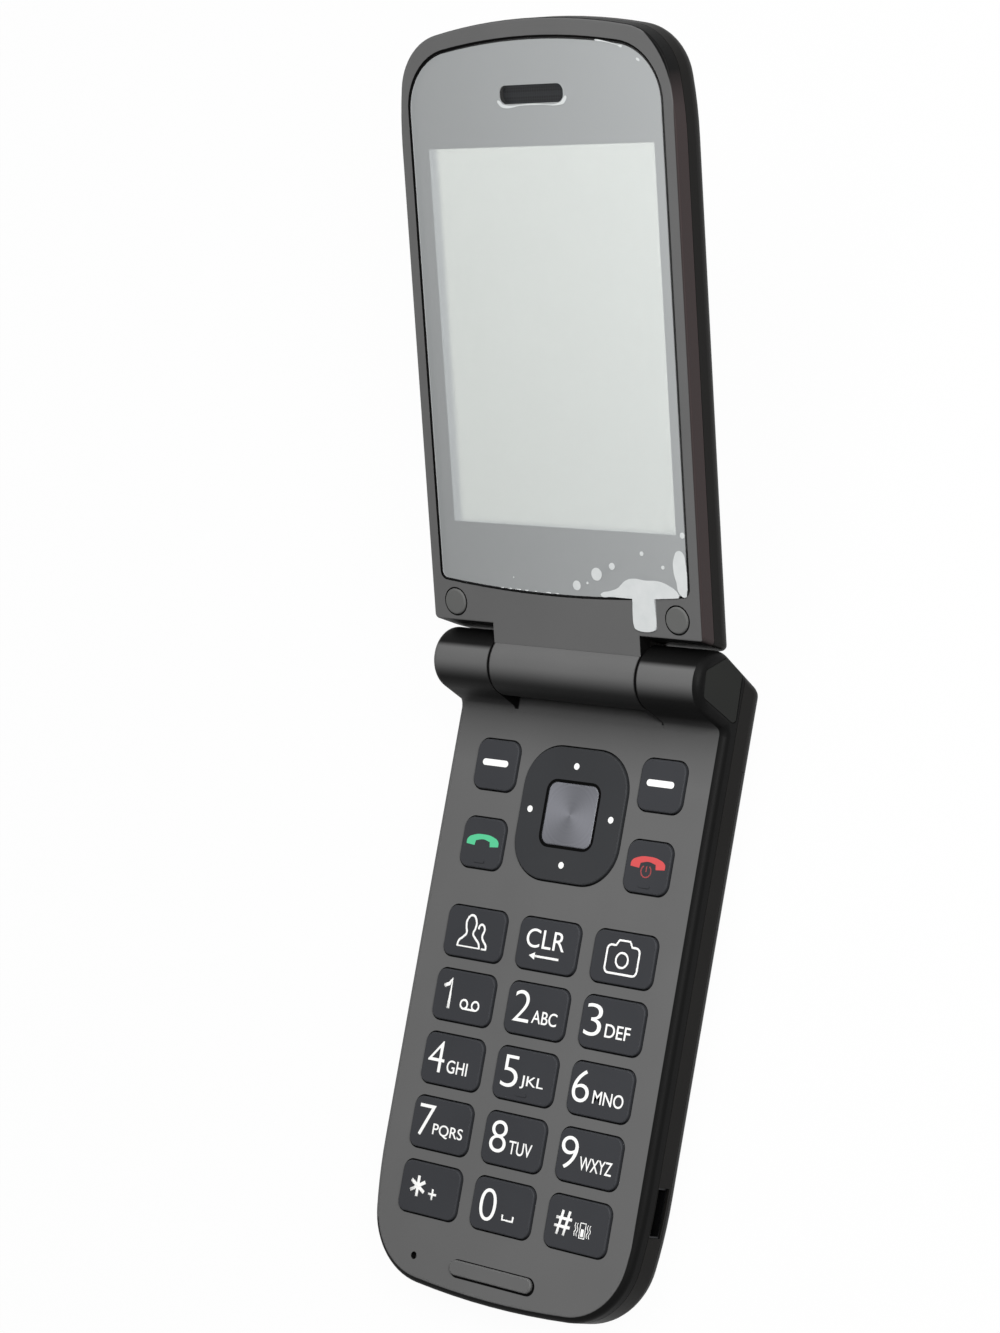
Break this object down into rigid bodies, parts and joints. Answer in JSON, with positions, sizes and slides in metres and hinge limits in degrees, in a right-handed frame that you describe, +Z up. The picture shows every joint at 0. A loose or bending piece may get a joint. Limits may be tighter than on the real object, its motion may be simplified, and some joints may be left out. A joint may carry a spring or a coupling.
{
  "type": "clamshell feature phone",
  "caption": "Clamshell feature phone, open, with a keypad base, a direction pad, a raised display lid on a friction hinge and a charging socket.",
  "frame": {"origin": "on the flat back of the battery cover, in the middle of the width and halfway along the base", "axes": "+X to the user's right, +Y along the phone from the keypad end to the hinge and the lid, +Z up out of the keypad"},
  "size_m": [0.0538, 0.1943, 0.0529],
  "materials": {
    "front_shell": "fine matte, dark grey",
    "rear_shell": "matte, near black",
    "key_plastic": "satin, charcoal",
    "select_metal": "metallised, radial brush",
    "lens_clear": "clear, mask printed behind",
    "film_clear": "thin clear film, cloudy in places",
    "display_glass": "switched off, pale",
    "light_guide": "white frame and reflector",
    "board_green": "solder mask over copper",
    "sheet_film": "clear sheet over steel domes",
    "silicone": "soft, translucent grey",
    "carrier_plastic": "moulded frame",
    "steel": "bright steel",
    "bush_plastic": "low-friction plastic",
    "can_aluminium": "silver can",
    "speaker_black": "moulded frame with a cone",
    "antenna_copper": "copper foil strip",
    "flex_amber": "amber film over copper",
    "mesh_black": "woven acoustic mesh",
    "window_glass": "dark window",
    "flash_clear": "clear moulded lens",
    "bumper_rubber": "soft dark grey pad"
  },
  "bodies": {
    "base": {"base_front_panel": "front_shell", "base_rear_housing": "rear_shell", "battery_cover": "rear_shell", "battery": "can_aluminium", "battery_contacts": "carrier_plastic", "main_board": "board_green", "dome_sheet": "sheet_film", "key_mat": "silicone", "charging_socket": "steel", "microphone": "can_aluminium", "sim_holder": "steel", "vibration_motor": "steel", "loudspeaker": "speaker_black", "antenna": "antenna_copper", "base_screws": "steel", "hinge_cap_left": "rear_shell", "hinge_cap_right": "rear_shell", "hinge_cam": "steel", "hinge_bush": "bush_plastic"},
    "lid": {"lid_front_frame": "front_shell", "lid_rear_cover": "rear_shell", "lid_hinge_barrel": "front_shell", "hinge_flex": "flex_amber", "display_lens": "lens_clear", "protective_film": "film_clear", "display_panel": "display_glass", "backlight": "light_guide", "lid_board": "board_green", "earpiece_mesh": "mesh_black", "earpiece": "speaker_black", "camera_module": "speaker_black", "camera_window": "window_glass", "flash_lens": "flash_clear", "lid_bumpers": "bumper_rubber", "lid_screws": "steel", "hinge_cartridge": "steel", "hinge_spring": "steel"},
    "direction_pad_carrier": {"direction_pad_carrier": "carrier_plastic"},
    "direction_pad": {"direction_pad": "key_plastic"},
    "select_key": {"select_key": "select_metal"},
    "left_soft_key": {"left_soft_key": "key_plastic"},
    "right_soft_key": {"right_soft_key": "key_plastic"},
    "call_key": {"call_key": "key_plastic"},
    "end_key": {"end_key": "key_plastic"},
    "contacts_key": {"contacts_key": "key_plastic"},
    "clear_key": {"clear_key": "key_plastic"},
    "camera_key": {"camera_key": "key_plastic"},
    "number_key_1": {"number_key_1": "key_plastic"},
    "number_key_2": {"number_key_2": "key_plastic"},
    "number_key_3": {"number_key_3": "key_plastic"},
    "number_key_4": {"number_key_4": "key_plastic"},
    "number_key_5": {"number_key_5": "key_plastic"},
    "number_key_6": {"number_key_6": "key_plastic"},
    "number_key_7": {"number_key_7": "key_plastic"},
    "number_key_8": {"number_key_8": "key_plastic"},
    "number_key_9": {"number_key_9": "key_plastic"},
    "star_key": {"star_key": "key_plastic"},
    "number_key_0": {"number_key_0": "key_plastic"},
    "hash_key": {"hash_key": "key_plastic"}
  },
  "joints": [
    {"name": "lid_hinge", "type": "hinge", "parent": "base", "child": "lid", "pos_m": [0, 0.05, 0.0131], "axis": [1, 0, 0], "range_deg": [0, 158.5]},
    {"name": "left_soft_key_press", "type": "slide", "parent": "base", "child": "left_soft_key", "axis": [0, 0, 1], "range_m": [-0.00035, 0], "stiffness_N_per_m": 600},
    {"name": "right_soft_key_press", "type": "slide", "parent": "base", "child": "right_soft_key", "axis": [0, 0, 1], "range_m": [-0.00035, 0], "stiffness_N_per_m": 600},
    {"name": "call_key_press", "type": "slide", "parent": "base", "child": "call_key", "axis": [0, 0, 1], "range_m": [-0.00035, 0], "stiffness_N_per_m": 600},
    {"name": "end_key_press", "type": "slide", "parent": "base", "child": "end_key", "axis": [0, 0, 1], "range_m": [-0.00035, 0], "stiffness_N_per_m": 600},
    {"name": "contacts_key_press", "type": "slide", "parent": "base", "child": "contacts_key", "axis": [0, 0, 1], "range_m": [-0.00035, 0], "stiffness_N_per_m": 600},
    {"name": "clear_key_press", "type": "slide", "parent": "base", "child": "clear_key", "axis": [0, 0, 1], "range_m": [-0.00035, 0], "stiffness_N_per_m": 600},
    {"name": "camera_key_press", "type": "slide", "parent": "base", "child": "camera_key", "axis": [0, 0, 1], "range_m": [-0.00035, 0], "stiffness_N_per_m": 600},
    {"name": "number_key_1_press", "type": "slide", "parent": "base", "child": "number_key_1", "axis": [0, 0, 1], "range_m": [-0.00035, 0], "stiffness_N_per_m": 600},
    {"name": "number_key_2_press", "type": "slide", "parent": "base", "child": "number_key_2", "axis": [0, 0, 1], "range_m": [-0.00035, 0], "stiffness_N_per_m": 600},
    {"name": "number_key_3_press", "type": "slide", "parent": "base", "child": "number_key_3", "axis": [0, 0, 1], "range_m": [-0.00035, 0], "stiffness_N_per_m": 600},
    {"name": "number_key_4_press", "type": "slide", "parent": "base", "child": "number_key_4", "axis": [0, 0, 1], "range_m": [-0.00035, 0], "stiffness_N_per_m": 600},
    {"name": "number_key_5_press", "type": "slide", "parent": "base", "child": "number_key_5", "axis": [0, 0, 1], "range_m": [-0.00035, 0], "stiffness_N_per_m": 600},
    {"name": "number_key_6_press", "type": "slide", "parent": "base", "child": "number_key_6", "axis": [0, 0, 1], "range_m": [-0.00035, 0], "stiffness_N_per_m": 600},
    {"name": "number_key_7_press", "type": "slide", "parent": "base", "child": "number_key_7", "axis": [0, 0, 1], "range_m": [-0.00035, 0], "stiffness_N_per_m": 600},
    {"name": "number_key_8_press", "type": "slide", "parent": "base", "child": "number_key_8", "axis": [0, 0, 1], "range_m": [-0.00035, 0], "stiffness_N_per_m": 600},
    {"name": "number_key_9_press", "type": "slide", "parent": "base", "child": "number_key_9", "axis": [0, 0, 1], "range_m": [-0.00035, 0], "stiffness_N_per_m": 600},
    {"name": "star_key_press", "type": "slide", "parent": "base", "child": "star_key", "axis": [0, 0, 1], "range_m": [-0.00035, 0], "stiffness_N_per_m": 600},
    {"name": "number_key_0_press", "type": "slide", "parent": "base", "child": "number_key_0", "axis": [0, 0, 1], "range_m": [-0.00035, 0], "stiffness_N_per_m": 600},
    {"name": "hash_key_press", "type": "slide", "parent": "base", "child": "hash_key", "axis": [0, 0, 1], "range_m": [-0.00035, 0], "stiffness_N_per_m": 600},
    {"name": "select_key_press", "type": "slide", "parent": "base", "child": "select_key", "axis": [0, 0, 1], "range_m": [-0.00035, 0], "stiffness_N_per_m": 600},
    {"name": "direction_pad_left_right", "type": "hinge", "parent": "base", "child": "direction_pad_carrier", "pos_m": [0, 0.0275, 0.00725], "axis": [0, 1, 0], "range_deg": [-1, 1], "stiffness_Nm_per_rad": 0.45},
    {"name": "direction_pad_up_down", "type": "hinge", "parent": "direction_pad_carrier", "child": "direction_pad", "pos_m": [0, 0.0275, 0.00725], "axis": [1, 0, 0], "range_deg": [-1, 1], "stiffness_Nm_per_rad": 0.45}
  ]
}
